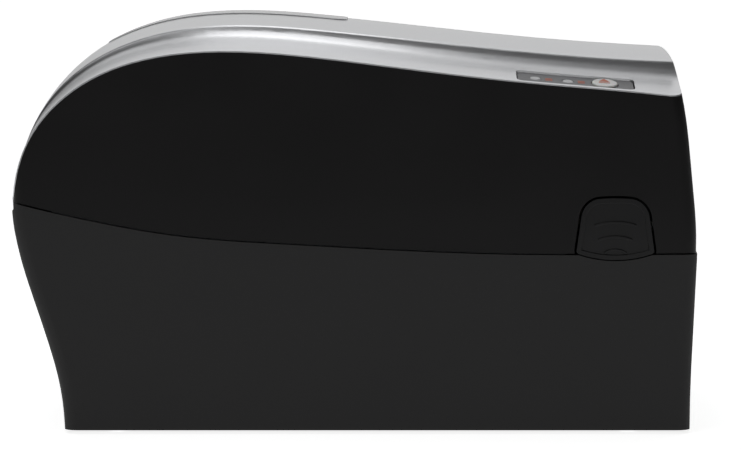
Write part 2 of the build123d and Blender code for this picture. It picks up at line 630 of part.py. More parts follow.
# ---------------------------------------------------------------- media sensor
def media_sensor():
    body = block((SENSOR_X - 7, SENSOR_X + 7), (-8, 8), (57.8, 66.8))
    body += block((SENSOR_X - 2.5, SENSOR_X + 2.5), (-6, 6), (66, 71.6))
    body += block((SENSOR_X - 1.5, SENSOR_X + 1.5), (-1.5, 1.5), (71, 73.6))
    body = chamfer(body.edges().filter_by(Axis.Z).group_by(Axis.X)[0], 1)
    return body - rod_y(SENSOR_X, SENSOR_Z, 2 + RUNNING, (-20, 20))


# ---------------------------------------------------------------- electronics and rear connectors
BOARD_Z = 8.0
BOARD_X, BOARD_HALF = (-113.5, -8.0), 80.0
STANDOFFS = [(x, y) for x in (-108, -14) for y in (-74, 74)]
USB_Y, SERIAL_Y, POWER_Y, SWITCH_Y = -22.0, 12.0, -52.0, 52.0


def main_board():
    board = block(BOARD_X, (-BOARD_HALF, BOARD_HALF), (BOARD_Z, BOARD_Z + 1.6))
    for x, y in STANDOFFS:
        board -= rod_z(x, y, 1.6, (0, 20))
    return board


def board_chips():
    top = BOARD_Z + 1.6
    chips = [block((-78, -54), (-12, 12), (top, top + 1.4)), block((-46, -34), (-30, -18), (top, top + 1.2)),
             block((-34, -22), (20, 38), (top, top + 1.2)), block((-92, -84), (20, 32), (top, top + 1.6)),
             block((-30, -12), (-70, -64), (top, top + 6)), block((-30, -12), (64, 70), (top, top + 6))]
    return group(chips)


def board_capacitors():
    top = BOARD_Z + 1.6
    places = [(-92, -60), (-80, -60), (-92, -47), (-20, 0), (-20, 52)]
    return group([fillet(rod_z(x, y, 5, (top, top + 11)).edges().group_by(Axis.Z)[-1], 0.8) for x, y in places])


def rear_io_plate():
    """Black plate at the bottom of the rear well, with an opening for each connector."""
    plate = block((WELL_X, WELL_X + 1.6), WELL_Y, WELL_Z)
    plate -= block((-120, -100), (USB_Y - 6.4, USB_Y + 6.4), (11.8, 23.2))
    plate -= block((-120, -100), (SERIAL_Y - 16.2, SERIAL_Y + 16.2), (12.4, 23.8))
    plate -= block((-120, -100), (POWER_Y - 7.2, POWER_Y + 7.2), (12.4, 23.6))
    plate -= block((-120, -100), (SWITCH_Y - 7.2, SWITCH_Y + 7.2), (16.5, 37.5))
    for y in (USB_Y, SERIAL_Y, POWER_Y):
        plate -= block((WELL_X - 0.5, WELL_X + 0.4), (y - 9, y + 9), (25.2, 26.0))
    return plate


def usb_socket():
    """Square device socket: metal shell with a tongue inside."""
    shell = block((-118, -101), (USB_Y - 6.1, USB_Y + 6.1), (12.0, 23.0))
    shell -= block((-119, -104), (USB_Y - 4.3, USB_Y + 4.3), (13.4, 21.4))
    shell += block((-113.2, -103), (USB_Y - 2.8, USB_Y + 2.8), (16.0, 19.2))
    shell += block((-112, -104), (USB_Y - 6.1, USB_Y + 6.1), (BOARD_Z + 1.6, 12.2))
    return shell


def serial_socket():
    """Nine-way D-shaped socket with its flange, two jack posts and nine holes."""
    y = SERIAL_Y
    shape = Polyline((-8.5, 4), (8.5, 4), (7.2, -4), (-7.2, -4), close=True)
    face = fillet(make_face(shape.edges()).vertices(), 1.6)
    nose = extrude(Plane(origin=(-116, y, 18.1), x_dir=(0, 1, 0), z_dir=(-1, 0, 0)) * face, 6)
    body = block((-116.2, -100), (y - 15.8, y + 15.8), (12.8, 23.4)) + nose
    for number in range(9):
        row, place = (1.4, number) if number < 5 else (-1.4, number - 4.5)
        body -= rod_x(y + (place - 2) * 2.7, 18.1 + row, 0.6, (-124, -117))
    for s in (-1, 1):
        body += rod_x(y + s * 12.5, 18.1, 2.6, (-120, -116)) - rod_x(y + s * 12.5, 18.1, 1.4, (-122, -117))
    return body + block((-112, -101), (y - 15.8, y + 15.8), (BOARD_Z + 1.6, 13))


INLET_BORE_R = 3.2


def power_inlet():
    """Low-voltage round inlet with its centre pin."""
    body = block((-118, -102), (POWER_Y - 7, POWER_Y + 7), (12.6, 23.4))
    body = body - rod_x(POWER_Y, 18, INLET_BORE_R, (-119, -106)) + rod_x(POWER_Y, 18, 1.0, (-117, -105))
    return body + block((-112, -103), (POWER_Y - 7, POWER_Y + 7), (BOARD_Z + 1.6, 12.8))


ROCKER_X, ROCKER_Z, ROCKER_TILT = -113.0, 27.0, 8.0
ROCKER_PIN_R, ROCKER_PIN_HALF = 1.2, 6.2


def switch_housing():
    body = block((-117.6, -103), (SWITCH_Y - 7, SWITCH_Y + 7), (16.7, 37.3))
    body -= block((-125, -106), (SWITCH_Y - 5.2, SWITCH_Y + 5.2), (18.2, 35.8))
    hole_half = ROCKER_PIN_HALF + 0.2
    hole_y = (SWITCH_Y - hole_half, SWITCH_Y + hole_half)
    return body - rod_y(ROCKER_X, ROCKER_Z, ROCKER_PIN_R + RUNNING, hole_y)


def power_rocker():
    """Rocker paddle with a pivot pin on each side, at rest tipped to its off side."""
    wide = 4.9
    face = make_face([Line((-4.6, 8.1), (2.2, 7.8)), Line((2.2, 7.8), (4.6, 0)), Line((4.6, 0), (2.2, -7.8)),
                      Line((2.2, -7.8), (-4.6, -8.1)), ThreePointArc((-4.6, -8.1), (-3.0, 0), (-4.6, 8.1))])
    body = side_prism(Pos(ROCKER_X, ROCKER_Z) * face, (SWITCH_Y - wide, SWITCH_Y + wide))
    body += rod_y(ROCKER_X, ROCKER_Z, ROCKER_PIN_R, (SWITCH_Y - ROCKER_PIN_HALF, SWITCH_Y + ROCKER_PIN_HALF))
    return body.rotate(Axis((ROCKER_X, 0, ROCKER_Z), (0, 1, 0)), ROCKER_TILT)


# ---------------------------------------------------------------- lid
ARM_Y, BRACKET_Y = (99.5, 102.0), 102.5     # latch arm, and the inner face of the bracket that carries it
PEG_X, PEG_Z, PEG_R = (BUTTON_X - 3.5, BUTTON_X + 3.5), 94.0, 1.2


def knuckle_relief():
    cut = rod_y(HINGE_X, HINGE_Z, 4.3, (KNUCKLE_Y[0] - 0.5, KNUCKLE_Y[1] + 0.5))
    return both_sides(cut)


def lid_shell():
    """Dark side walls and front wall under the cover."""
    shell = blank(LID_INSET) & seam_side(SEAM_GAP, above=True)
    shell -= blank(LID_INSET + LID_WALL, open_rear=True)
    shell -= above_cover(COVER_THICKNESS + COVER_CLEARANCE)
    shell -= hinge_relief(BARREL_R + 0.1, BARREL_HALF_WIDTH + 0.2)
    shell -= block((120, 160), (-61, 61), (60, 86.5))
    for s in (-1, 1):
        bracket = block((97, 120.5), (BRACKET_Y, 110.9), (99.2, 101.2))
        bracket += block((97, 120.5), (BRACKET_Y, 105), (77, 101.2))
        bracket -= block((BUTTON_X - 5.3, BUTTON_X + 5.3), (101, 106), (79.7, 86.3))
        for x in PEG_X:
            bracket += rod_y(x, PEG_Z, PEG_R, (ARM_Y[0] - 0.6, BRACKET_Y + 0.5))
        opening = side_prism(button_outline(BUTTON_GAP), (105.5, 130))
        if s < 0:
            bracket, opening = mirrored(bracket), mirrored(opening)
        shell -= opening
        shell += bracket
    for s in (-1, 1):
        for x in (-60, 30):
            tab = block((x - 6, x + 6), (86, 109.5), (128, 130.5))
            tab -= rod_z(x, 90, 1.6, (120, 140))
            shell += tab if s > 0 else mirrored(tab)
    return shell


def top_cover():
    """Swept metallic cover with a cove along each side."""
    cover = cover_band(0, COVER_THICKNESS) & blank(LID_INSET, open_rear=True)
    cover &= block((-FAR, FAR), (-FAR, FAR), (HINGE_Z + 0.5, FAR))
    cover -= plan_prism(PANEL_X, PANEL_Y, 0.5)
    cover -= plan_prism(WINDOW_X, (-WINDOW_HALF_WIDTH, WINDOW_HALF_WIDTH), WINDOW_CLEARANCE, corner=6.0)
    return cover - knuckle_relief() - rod_y(HINGE_X, HINGE_Z, HINGE_PIN_R + 0.4, (-93, 93))


def viewing_window():
    strip = cover_band(WINDOW_RAISE, COVER_THICKNESS)
    return strip & plan_prism(WINDOW_X, (-WINDOW_HALF_WIDTH, WINDOW_HALF_WIDTH), 0, corner=6.0)


def control_panel():
    panel = cover_band(-PANEL_SINK, PANEL_DEPTH) & plan_prism(PANEL_X, PANEL_Y, 0)
    panel -= cove_plane(FEED_X, PANEL_MIDDLE_Y) * Cylinder(FEED_R + 0.35, 14)
    for x in LENS_X:
        panel -= cove_plane(x, PANEL_MIDDLE_Y) * Cylinder(LENS_R, 14)
    return panel


def indicator_lens(x):
    """Light guide with a softly rounded face, a little below the panel's surface."""
    lens = Cylinder(LENS_R - 0.05, 3.2)
    lens = fillet(lens.edges().group_by(Axis.Z)[-1], 0.5)
    return cove_plane(x, PANEL_MIDDLE_Y, 1.6 + PANEL_SINK - 0.15) * lens


def feed_button():
    """Round paper-feed key with a skirt under the panel."""
    place = cove_plane(FEED_X, PANEL_MIDDLE_Y, 0)
    cap = Pos(0, 0, -1.9) * Cylinder(FEED_R, 4.1)
    cap = fillet(cap.edges().group_by(Axis.Z)[-1], 0.9)
    skirt = Pos(0, 0, -3.9) * Cylinder(FEED_R + 1.4, 0.8)
    return place * (cap + skirt)


def panel_board():
    board = cove_plane(92.25, PANEL_MIDDLE_Y, 7.6) * Box(50, 11, 1.2)
    switch = cove_plane(FEED_X, PANEL_MIDDLE_Y, 6.4) * Box(6, 6, 1.3)
    return board + switch


def lid_liner():
    """Dark inner moulding under the cover: ribbed skin, window frame and the hinge barrel."""
    skin = under_strip(2.75, 4.7, 82) & block((-FAR, 126), (-FAR, FAR), (92, FAR))
    ribs = under_strip(4.5, 9.0, 80)
    for x in (-122, -112, 4, 40, 76, 110):
        skin += ribs & block((x - 0.9, x + 0.9), (-80, 80), (92, FAR))
    window = plan_prism(WINDOW_X, (-WINDOW_HALF_WIDTH, WINDOW_HALF_WIDTH), -2.5, corner=6.0)
    skin -= window
    barrel = rod_y(HINGE_X, HINGE_Z, BARREL_R, (-BARREL_HALF_WIDTH, BARREL_HALF_WIDTH)) & blank(LID_INSET)
    shoulder = block((HINGE_X - 1.5, HINGE_X + 6), (-82, 82), (HINGE_Z + 0.5, 102))
    shoulder -= rod_y(HINGE_X + 7.2, 103, 5.5, (-90, 90))
    liner = skin + barrel + shoulder
    over_barrel = block((-FAR, FAR), (-FAR, FAR), (HINGE_Z + 0.35, FAR))
    liner -= above_cover(COVER_THICKNESS + COVER_CLEARANCE) & over_barrel
    liner -= knuckle_relief()
    liner -= both_sides(rod_y(HINGE_X, HINGE_Z, HINGE_PIN_R + RUNNING, (60, 91.5)))
    return liner


# ---------------------------------------------------------------- print head
CARRIER_HALF = 62.0


def head_carrier():
    """Moulded carrier hung in the front of the lid: two cheeks, a cross wall and a spring plate."""
    outline = Polyline((96, 96), (104, 84), (133, 84), (133, 112), (120, 136), (96, 136), close=True)
    cheek = make_face(outline.edges())
    cheek = fillet(cheek.vertices(), 3)
    carrier = both_sides(side_prism(cheek, (CARRIER_HALF - 2, CARRIER_HALF)))
    carrier += block((98, 131), (-CARRIER_HALF, CARRIER_HALF), (106, 108))
    carrier += block((98, 100), (-CARRIER_HALF, CARRIER_HALF), (98, 134))
    for y in (-30, 0, 30):
        carrier += block((100, 118), (y - 1, y + 1), (108, 132))
    for y in (-40, 40):
        carrier += rod_z(PLATEN_X, y, 2.6, (100, 107))
    return carrier + both_sides(block((98, 116), (CARRIER_HALF - 1, 84), (126, 128)))


def print_head():
    """Thermal head: ceramic plate with a raised heating line under its driver cover."""
    plate = block((108, 124), (-55, 55), (79.0, 80.4))
    line_of_dots = rod_y(PLATEN_X, 79.6, 1.3, (-54, 54)) & block((100, 130), (-60, 60), (70, 80.3))
    cover = block((108, 113.5), (-50, 50), (77.6, 79.2))
    cover -= rod_y(PLATEN_X, PLATEN_Z, PLATEN_R + 0.6, (-60, 60))
    return plate + line_of_dots + cover


def head_heat_sink():
    """Aluminium backing of the head with fins along it."""
    body = block((107, 126), (-56, 56), (80.4, 84.4))
    for number in range(5):
        x = 108.2 + 4.0 * number
        body += block((x, x + 1.4), (-56, 56), (84.2, 88.4))
    return body


def head_bracket():
    """Folded steel bracket over the heat sink, with a lug at each end."""
    bracket = block((106, 127), (-58, 58), (88.8, 90.2))
    for s in (-1, 1):
        y = sorted((s * 56.8, s * 58.0))
        bracket += block((106, 127), y, (82.5, 90.2))
    for y in (-40, 40):
        bracket += rod_z(PLATEN_X, y, 2.4, (90, 93))
    return bracket - block((112, 122), (-18, 18), (85, 92))


def coil(radius, wire, height, turns):
    """Compression spring with its axis along Z, standing on z = 0."""
    path = Helix(pitch=(height - wire) / turns, height=height - wire, radius=radius)
    profile = Plane(origin=path @ 0, z_dir=path % 0) * Circle(wire / 2)
    return Pos(0, 0, wire / 2) * sweep(profile, path)


def head_springs():
    spring = coil(3.8, 0.9, 15.4, 5)
    return group([Pos(PLATEN_X, y, 90.4) * spring for y in (-40, 40)])


# ---------------------------------------------------------------- release buttons
def release_button():
    """Left button: pad with three raised arcs, and a stem through the lid's bracket to the latch arm."""
    pad = side_prism(button_outline(), (105, 130)) & blank(0.15)
    pad -= blank(3.2)
    dish = side_prism(button_outline(-2.0), (105, 130)) - blank(0.75)
    pad -= dish
    for half, z in ((8.5, 86.5), (6.9, 80.6), (4.5, 75.2)):
        arc = ThreePointArc((BUTTON_X - half, z - 1.1), (BUTTON_X, z + 0.3), (BUTTON_X + half, z - 1.1))
        bar = side_prism(trace(arc, 0.9), (105, 130)) & blank(0.1)
        pad += bar - blank(1.5)
    return pad + block((BUTTON_X - 5, BUTTON_X + 5), (ARM_Y[1] + 0.3, 110.2), (80, 86))


def latch_arm():
    """Left latch: springy arm on two pegs of the lid's bracket, with a hook that reaches under the catch."""
    arm = block((BUTTON_X - 6, BUTTON_X + 6), ARM_Y, (60, 92))
    arm += block((BUTTON_X - 6, BUTTON_X + 6), (ARM_Y[0], BRACKET_Y), (90, 98))
    outline = Polyline((102, 60), (104.9, 63.2), (104.9, 64.2), (102, 64.2), (101.5, 62), close=True)
    nose = Plane(origin=(BUTTON_X, 0, 0), x_dir=(0, 1, 0), z_dir=(1, 0, 0)) * make_face(outline.edges())
    arm += extrude(nose, 6, both=True)
    for x in PEG_X:
        arm -= rod_y(x, PEG_Z, PEG_R + 0.05, (90, 105))
    return arm


def latch_catch():
    keeper = block((BUTTON_X - 8, BUTTON_X + 8), (105.3, 109.6), (64.7, 67.9))
    return chamfer(keeper.edges().filter_by(Axis.X).group_by(Axis.Z)[-1].group_by(Axis.Y)[0], 1.2)


def release_spring():
    spring = coil(3.4, 0.6, 4.5, 3)
    return Pos(BUTTON_X, 105.1, 91.5) * Rot(-90, 0, 0) * spring


# ---------------------------------------------------------------- the whole printer
def build_lower():
    save("base_shell", base_shell())
    save("base_plate", base_plate())
    save("feet", group([foot(x, y) for x in (-96, 118) for y in (-84, 84)]))
    save("base_screws", group([screw(x, y, FOOT_HEIGHT + 0.2, 16) for x, y in BOSS_PLACES]))
    save("chassis_tray", chassis_tray())
    save("front_bezel", front_bezel())
    save("tear_bar", tear_bar())
    save("guide_rail", guide_rail())
    save("sensor_rail", rod_y(SENSOR_X, SENSOR_Z, 2, (-65.5, 65.5)))
    save("latch_catches", group([latch_catch(), mirrored(latch_catch())]))
    pin = rod_y(HINGE_X, HINGE_Z, HINGE_PIN_R, (61, 90))
    save("hinge_pins", group([pin, mirrored(pin)]))


def build_drive():
    save("platen_shaft", platen_shaft())
    save("platen_rubber", platen_rubber())
    save("platen_gear", platen_gear())
    save("platen_bushes", group([platen_bush(-1), platen_bush(1)]))
    save("idler_gear", idler_gear())
    stud = rod_y(IDLER_X, IDLER_Z, 1.8, PLATE_Y) + rod_y(IDLER_X, IDLER_Z, STUD_R, (PLATE_Y[1], 82))
    save("idler_stud", stud)
    save("motor_pinion", motor_pinion())
    save("drive_motor", drive_motor())
    save("gear_plate", gear_plate())
    save("motor_screws", group([y_screw(x, z, PLATE_Y[1], 5) - drive_motor() for x, z in MOTOR_SCREWS]))


def build_guides():
    turn = Pos(ROLL_X, 0, 0) * Rot(0, 0, 180) * Pos(-ROLL_X, 0, 0)
    save("roll_guide_left", roll_guide())
    save("roll_guide_right", turn * roll_guide())
    save("roll_hub_left", roll_hub())
    save("roll_hub_right", turn * roll_hub())
    save("guide_pinion", guide_pinion())
    save("media_sensor", media_sensor())


def build_electronics():
    save("main_board", main_board())
    save("board_chips", board_chips())
    save("board_capacitors", board_capacitors())
    save("rear_io_plate", rear_io_plate())
    save("usb_socket", usb_socket())
    save("serial_socket", serial_socket())
    save("power_inlet", power_inlet())
    save("switch_housing", switch_housing())
    save("power_rocker", power_rocker())


def build_lid():
    save("lid_shell", lid_shell())
    save("top_cover", top_cover())
    save("viewing_window", viewing_window())
    save("lid_liner", lid_liner())
    save("control_panel", control_panel())
    save("indicator_lenses", group([indicator_lens(x) for x in LENS_X]))
    save("panel_board", panel_board())
    save("feed_button", feed_button())
    save("head_carrier", head_carrier())
    save("print_head", print_head())
    save("head_heat_sink", head_heat_sink())
    save("head_bracket", head_bracket())
    save("head_springs", head_springs())
    save("release_button_left", release_button())
    save("release_button_right", mirrored(release_button()))
    save("latch_arm_left", latch_arm())
    save("latch_arm_right", mirrored(latch_arm()))
    save("release_spring_left", release_spring())
    save("release_spring_right", mirrored(release_spring()))


os.makedirs("parts", exist_ok=True)
build_lower()
build_drive()
build_guides()
build_electronics()
build_lid()
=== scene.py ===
import json
import logging
import math
from dataclasses import dataclass
from enum import Enum
from typing import Dict, List, Optional, Tuple, Union

import bmesh
import bpy
from mathutils import Matrix, Vector
from mathutils.bvhtree import BVHTree

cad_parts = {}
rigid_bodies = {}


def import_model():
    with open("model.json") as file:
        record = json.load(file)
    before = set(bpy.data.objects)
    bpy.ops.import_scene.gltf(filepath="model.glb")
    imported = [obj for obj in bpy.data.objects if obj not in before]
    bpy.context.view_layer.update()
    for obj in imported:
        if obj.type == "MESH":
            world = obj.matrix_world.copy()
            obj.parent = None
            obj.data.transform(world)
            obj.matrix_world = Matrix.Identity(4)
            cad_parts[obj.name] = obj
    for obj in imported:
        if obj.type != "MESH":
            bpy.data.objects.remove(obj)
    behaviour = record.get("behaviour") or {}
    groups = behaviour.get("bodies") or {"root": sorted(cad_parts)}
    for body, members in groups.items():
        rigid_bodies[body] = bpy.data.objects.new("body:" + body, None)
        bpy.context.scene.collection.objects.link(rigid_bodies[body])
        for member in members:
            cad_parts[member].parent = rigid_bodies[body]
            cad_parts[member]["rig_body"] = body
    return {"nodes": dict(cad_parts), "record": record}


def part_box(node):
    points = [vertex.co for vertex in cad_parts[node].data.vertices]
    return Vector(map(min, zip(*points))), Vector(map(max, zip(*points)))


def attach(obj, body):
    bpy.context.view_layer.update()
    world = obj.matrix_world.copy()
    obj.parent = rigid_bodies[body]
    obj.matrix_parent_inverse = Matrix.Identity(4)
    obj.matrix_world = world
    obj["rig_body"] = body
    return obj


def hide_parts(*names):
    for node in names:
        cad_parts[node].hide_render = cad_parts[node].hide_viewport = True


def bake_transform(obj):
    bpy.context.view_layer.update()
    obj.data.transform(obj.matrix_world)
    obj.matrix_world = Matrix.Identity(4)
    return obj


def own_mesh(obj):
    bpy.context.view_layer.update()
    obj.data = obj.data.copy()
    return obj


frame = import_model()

logging.basicConfig(level=logging.INFO, format="%(levelname)s %(name)s: %(message)s")
LOG = logging.getLogger("receipt_printer")

MM = 0.001
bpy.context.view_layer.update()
Colour = Tuple[float, float, float]
Number = Union[float, "Signal"]


# ------------------------------------------------------------------ shader building
class Signal:
    """A shader socket that takes part in arithmetic, adding its own Math nodes."""

    def __init__(self, graph: "Graph", socket: bpy.types.NodeSocket) -> None:
        """Wrap a socket.

        Args:
            graph: the node graph that the socket belongs to.
            socket: an output socket.
        """
        self.graph = graph
        self.socket = socket

    def _math(self, operation: str, *values: Number) -> "Signal":
        """Add one Math node and return its result."""
        node = self.graph.node("ShaderNodeMath", {"operation": operation}, dict(enumerate(values)))
        return Signal(self.graph, node.outputs[0])

    def __add__(self, other: Number) -> "Signal":
        """Sum."""
        return self._math("ADD", self, other)

    __radd__ = __add__

    def __mul__(self, other: Number) -> "Signal":
        """Product."""
        return self._math("MULTIPLY", self, other)

    __rmul__ = __mul__

    def __sub__(self, other: Number) -> "Signal":
        """Difference."""
        return self._math("SUBTRACT", self, other)

    def __rsub__(self, other: Number) -> "Signal":
        """Difference the other way round."""
        return self._math("SUBTRACT", other, self)

    def __gt__(self, other: Number) -> "Signal":
        """One where this is greater."""
        return self._math("GREATER_THAN", self, other)

    def __lt__(self, other: Number) -> "Signal":
        """One where this is less."""
        return self._math("LESS_THAN", self, other)

    def ramp(self, low: float, high: float, out_low: float = 0.0, out_high: float = 1.0) -> "Signal":
        """Map a span of this signal smoothly onto another span, clamped at both ends.

        Args:
            low: input that gives out_low.
            high: input that gives out_high.
            out_low: lowest result.
            out_high: highest result.

        Returns:
            The mapped signal.
        """
        settings = {"interpolation_type": "SMOOTHSTEP"}
        values = {0: self, 1: low, 2: high, 3: out_low, 4: out_high}
        return Signal(self.graph, self.graph.node("ShaderNodeMapRange", settings, values).outputs[0])

    def wave(self) -> "Signal":
        """Absolute distance to the nearest whole number, as a triangle wave from 0 to 0.5."""
        return self._math("PINGPONG", self, 0.5)


class Graph:
    """A node graph that is filled through one method."""

    def __init__(self, tree: bpy.types.NodeTree) -> None:
        """Empty a node tree and take it over.

        Args:
            tree: the tree of a material or a world.
        """
        self.tree = tree
        self.tree.nodes.clear()

    def node(self, kind: str, settings: Dict[str, object], values: Dict[object, object]) -> bpy.types.Node:
        """Add any node.

        Args:
            kind: the node's type.
            settings: properties, set before the sockets.
            values: socket name or number to a value, a socket or a signal.

        Returns:
            The new node.
        """
        made = self.tree.nodes.new(kind)
        for key, value in settings.items():
            setattr(made, key, value)
        for key, value in values.items():
            target = made.inputs[key]
            if isinstance(value, Signal):
                value = value.socket
            if isinstance(value, bpy.types.NodeSocket):
                self.tree.links.new(value, target)
            elif isinstance(value, tuple) and target.type == "RGBA":
                target.default_value = (*value[:3], 1.0)
            else:
                target.default_value = value
        return made

    def split(self, vector: bpy.types.NodeSocket) -> Tuple[Signal, Signal, Signal]:
        """Take a vector apart into its three components."""
        node = self.node("ShaderNodeSeparateXYZ", {}, {0: vector})
        return tuple(Signal(self, output) for output in node.outputs)


class Shader(Graph):
    """One procedural material under construction, on object coordinates."""

    def __init__(self, name: str) -> None:
        """Start a material.

        Args:
            name: the material's name.
        """
        self.material = bpy.data.materials.new(name)
        self.material.use_nodes = True
        super().__init__(self.material.node_tree)
        self.coordinates = self.node("ShaderNodeTexCoord", {}, {}).outputs["Object"]

    def noise(self, size_mm: float, detail: float = 3.0, stretch: Optional[Colour] = None) -> Signal:
        """Cloudy noise.

        Args:
            size_mm: size of its largest features.
            detail: number of octaves.
            stretch: optional multiplier of the coordinates along each axis.

        Returns:
            A signal about 0.5.
        """
        vector = self.coordinates
        if stretch:
            vector = self.node("ShaderNodeMapping", {}, {"Vector": vector, "Scale": stretch}).outputs[0]
        values = {"Vector": vector, "Scale": 1.0 / (size_mm * MM), "Detail": detail, "Roughness": 0.55}
        return Signal(self, self.node("ShaderNodeTexNoise", {}, values).outputs[0])

    def cells(self, size_mm: float) -> Signal:
        """Distance to the centre of the nearest random cell."""
        values = {"Vector": self.coordinates, "Scale": 1.0 / (size_mm * MM)}
        return Signal(self, self.node("ShaderNodeTexVoronoi", {}, values).outputs["Distance"])

    def blend(self, factor: Number, low: object, high: object) -> bpy.types.NodeSocket:
        """Mix two colours.

        Args:
            factor: 0 for the low colour, 1 for the high one.
            low: a colour or a colour socket.
            high: a colour or a colour socket.

        Returns:
            The mixed colour's socket.
        """
        return self.node("ShaderNodeMix", {"data_type": "RGBA"}, {0: factor, 6: low, 7: high}).outputs[2]

    def bump(self, height: Signal, depth_mm: float) -> bpy.types.NodeSocket:
        """Turn a height signal into a normal."""
        return self.node("ShaderNodeBump", {}, {"Distance": depth_mm * MM, "Height": height}).outputs[0]

    def finish(self, sockets: Dict[str, object]) -> bpy.types.Material:
        """Close the material with a Principled surface.

        Args:
            sockets: socket name to value, link or signal.

        Returns:
            The finished material.
        """
        surface = self.node("ShaderNodeBsdfPrincipled", {}, sockets)
        self.node("ShaderNodeOutputMaterial", {}, {0: surface.outputs[0]})
        return self.material


def shade(colour: Colour, factor: float) -> Colour:
    """A colour made lighter or darker."""
    return tuple(min(1.0, channel * factor) for channel in colour)


# ------------------------------------------------------------------ finishes
@dataclass(frozen=True)
class Moulded:
    """Moulded plastic: spark-eroded grain, faint cloudiness and a little uneven gloss."""

    name: str
    colour: Colour
    roughness: float = 0.5
    grain_mm: float = 0.45
    grain_depth_mm: float = 0.02
    specular: float = 0.5
    coat: float = 0.0
    mottle: float = 0.08
    subsurface: float = 0.0

    def build(self) -> bpy.types.Material:
        """Make the material."""
        shader = Shader(self.name)
        cloud = shader.noise(38.0, 4.0)
        grain = shader.noise(self.grain_mm, 4.0)
        pits = shader.cells(self.grain_mm * 1.6)
        colour = shader.blend(cloud.ramp(0.35, 0.65), shade(self.colour, 1 - self.mottle),
                              shade(self.colour, 1 + self.mottle))
        colour = shader.blend(pits.ramp(0.1, 0.5, 0.0, 0.5), colour, shade(self.colour, 1.2))
        roughness = cloud.ramp(0.3, 0.7, self.roughness - 0.04, self.roughness + 0.05) + grain * 0.05
        sockets = {"Base Color": colour, "Roughness": roughness, "Specular IOR Level": self.specular,
                   "Normal": shader.bump(grain * 0.7 + pits * 0.3, self.grain_depth_mm),
                   "Coat Weight": self.coat, "Coat Roughness": 0.18}
        if self.subsurface:
            sockets |= {"Subsurface Weight": self.subsurface, "Subsurface Scale": 0.002}
        return shader.finish(sockets)


@dataclass(frozen=True)
class Lacquered:
    """Metallic lacquer over a moulding: tiny flakes under a clear film with a faint orange-peel."""

    name: str
    colour: Colour
    metallic: float = 0.8
    roughness: float = 0.3
    flake_mm: float = 0.14

    def build(self) -> bpy.types.Material:
        """Make the material."""
        shader = Shader(self.name)
        flakes = shader.cells(self.flake_mm)
        cloud = shader.noise(55.0, 3.0)
        peel = shader.noise(1.6, 2.0)
        colour = shader.blend(flakes.ramp(0.05, 0.6), shade(self.colour, 1.12), shade(self.colour, 0.92))
        colour = shader.blend(cloud.ramp(0.3, 0.7, 0.0, 0.25), colour, shade(self.colour, 0.96))
        sockets = {"Base Color": colour, "Metallic": self.metallic,
                   "Roughness": self.roughness + flakes * 0.06 + cloud * 0.03,
                   "Normal": shader.bump(peel, 0.003), "Coat Weight": 0.25, "Coat Roughness": 0.15}
        return shader.finish(sockets)


class Lay(Enum):
    """Direction in which a metal is brushed or turned, as multipliers of the coordinates."""

    ALONG_X = (0.03, 1.0, 1.0)
    ALONG_Y = (1.0, 0.03, 1.0)
    ALONG_Z = (1.0, 1.0, 0.03)


@dataclass(frozen=True)
class Metal:
    """Bare metal with drawing lines, light staining and brighter rubbed places."""

    name: str
    colour: Colour
    roughness: float = 0.3
    lay: Lay = Lay.ALONG_Y
    line_mm: float = 0.25

    def build(self) -> bpy.types.Material:
        """Make the material."""
        shader = Shader(self.name)
        lines = shader.noise(self.line_mm, 3.0, self.lay.value)
        stain = shader.noise(14.0, 5.0)
        colour = shader.blend(stain.ramp(0.38, 0.68), self.colour, shade(self.colour, 0.86))
        roughness = stain.ramp(0.3, 0.7, self.roughness - 0.06, self.roughness + 0.1) + lines * 0.12
        return shader.finish({"Base Color": colour, "Metallic": 1.0, "Roughness": roughness,
                              "Normal": shader.bump(lines, 0.006)})


@dataclass(frozen=True)
class Rubber:
    """Rubber with a dusty bloom and a ground surface."""

    name: str
    colour: Colour
    roughness: float = 0.75

    def build(self) -> bpy.types.Material:
        """Make the material."""
        shader = Shader(self.name)
        bloom = shader.noise(9.0, 5.0)
        grind = shader.noise(0.3, 3.0, (1.0, 0.2, 1.0))
        colour = shader.blend(bloom.ramp(0.45, 0.75, 0.0, 0.6), self.colour, shade(self.colour, 1.9))
        roughness = bloom.ramp(0.3, 0.7, self.roughness - 0.1, self.roughness + 0.1)
        return shader.finish({"Base Color": colour, "Roughness": roughness, "Specular IOR Level": 0.35,
                              "Normal": shader.bump(grind, 0.015)})


@dataclass(frozen=True)
class Laminate:
    """Circuit board: lacquered glass weave with copper tracks that run beneath it and plated holes."""

    name: str
    colour: Colour

    def build(self) -> bpy.types.Material:
        """Make the material."""
        shader = Shader(self.name)
        x, y, _ = shader.split(shader.coordinates)
        step = shader.noise(9.0, 1.0).ramp(0.3, 0.7, 0.0, 0.006)
        along_x = ((y + step) * 420.0).wave() < 0.11
        along_y = ((x + step) * 380.0).wave() < 0.10
        zone = shader.noise(16.0, 1.0) > 0.5
        tracks = along_x * zone + along_y * (1.0 - zone)
        holes = shader.cells(3.6) < 0.12
        weave = (x * 1400.0).wave() * (y * 1400.0).wave()
        colour = shader.blend(tracks, self.colour, shade(self.colour, 1.7))
        colour = shader.blend(holes, colour, (0.62, 0.56, 0.36))
        return shader.finish({"Base Color": colour, "Roughness": weave.ramp(0.0, 0.25, 0.32, 0.40),
                              "Metallic": holes * 0.8, "Normal": shader.bump(tracks + weave * 0.2, 0.03)})


